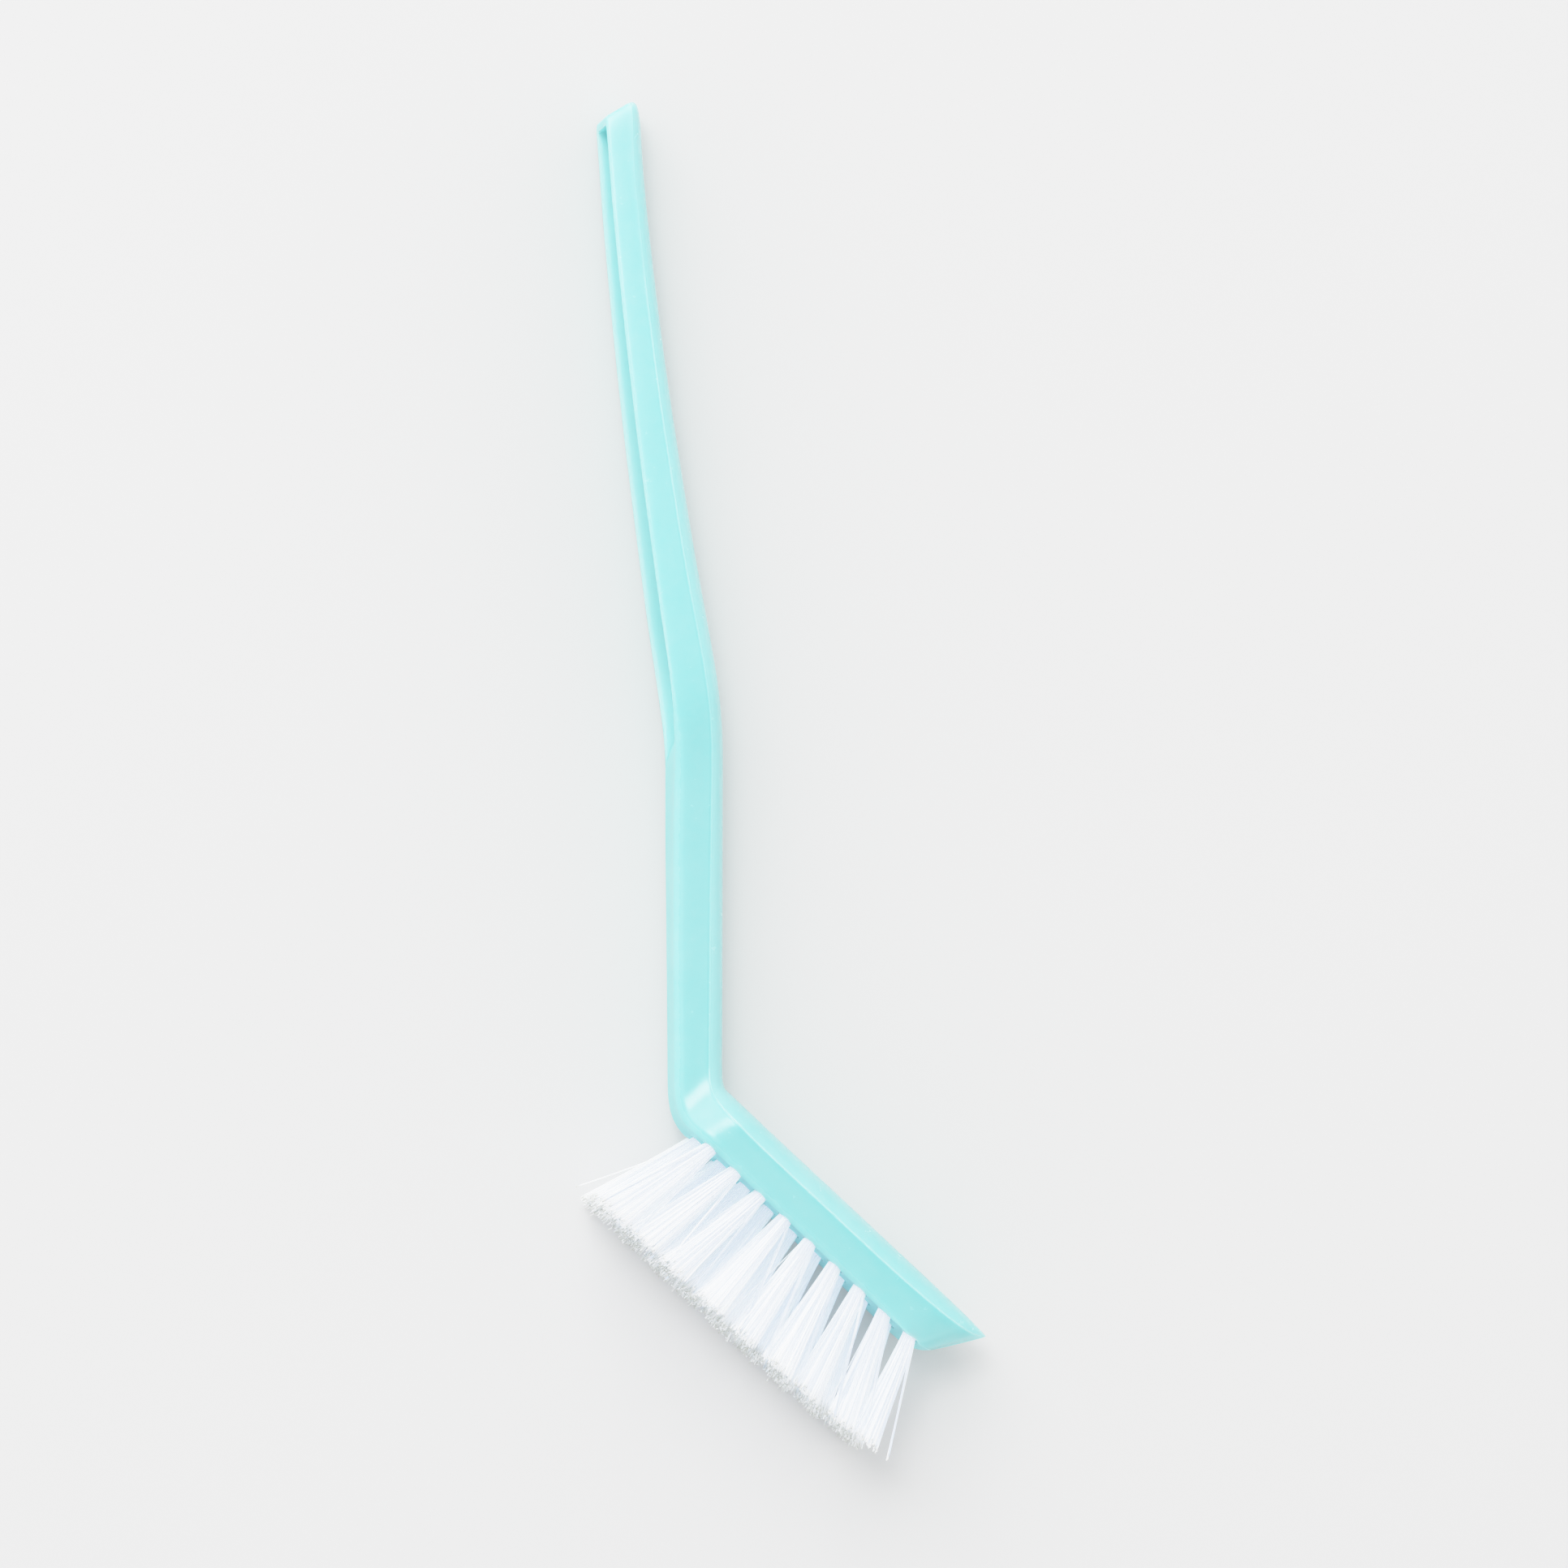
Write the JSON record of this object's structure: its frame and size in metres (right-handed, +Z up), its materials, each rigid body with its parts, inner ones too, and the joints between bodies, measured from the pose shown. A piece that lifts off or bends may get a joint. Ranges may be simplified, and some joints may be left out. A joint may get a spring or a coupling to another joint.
{
  "type": "dish brush",
  "caption": "Long-handled dish brush: one moulded plastic handle with an angled oblong head, set with rows of splayed white nylon tufts held by metal anchors.",
  "frame": {"origin": "bottom centre of the box around the brush, lying on its side on a level surface", "axes": "+Z up from the surface it lies on; +Y along the handle towards the handle end; +X away from the bristle side"},
  "size_m": [0.0835, 0.2832, 0.029],
  "materials": {
    "body": "smooth satin-gloss moulded plastic, slightly translucent aqua",
    "bristle": "bundles of fine translucent white nylon filament",
    "anchor": "plain cut metal strip"
  },
  "bodies": {
    "root": {"handle_head": "body", "tuft_near_1": "bristle", "tuft_near_2": "bristle", "tuft_near_3": "bristle", "tuft_near_4": "bristle", "tuft_near_5": "bristle", "tuft_near_6": "bristle", "tuft_near_7": "bristle", "tuft_near_8": "bristle", "tuft_near_9": "bristle", "tuft_mid_1": "bristle", "tuft_mid_2": "bristle", "tuft_mid_3": "bristle", "tuft_mid_4": "bristle", "tuft_mid_5": "bristle", "tuft_mid_6": "bristle", "tuft_mid_7": "bristle", "tuft_mid_8": "bristle", "tuft_mid_9": "bristle", "tuft_far_1": "bristle", "tuft_far_2": "bristle", "tuft_far_3": "bristle", "tuft_far_4": "bristle", "tuft_far_5": "bristle", "tuft_far_6": "bristle", "tuft_far_7": "bristle", "tuft_far_8": "bristle", "tuft_far_9": "bristle", "anchor_near_1": "anchor", "anchor_near_2": "anchor", "anchor_near_3": "anchor", "anchor_near_4": "anchor", "anchor_near_5": "anchor", "anchor_near_6": "anchor", "anchor_near_7": "anchor", "anchor_near_8": "anchor", "anchor_near_9": "anchor", "anchor_mid_1": "anchor", "anchor_mid_2": "anchor", "anchor_mid_3": "anchor", "anchor_mid_4": "anchor", "anchor_mid_5": "anchor", "anchor_mid_6": "anchor", "anchor_mid_7": "anchor", "anchor_mid_8": "anchor", "anchor_mid_9": "anchor", "anchor_far_1": "anchor", "anchor_far_2": "anchor", "anchor_far_3": "anchor", "anchor_far_4": "anchor", "anchor_far_5": "anchor", "anchor_far_6": "anchor", "anchor_far_7": "anchor", "anchor_far_8": "anchor", "anchor_far_9": "anchor"}
  },
  "joints": []
}
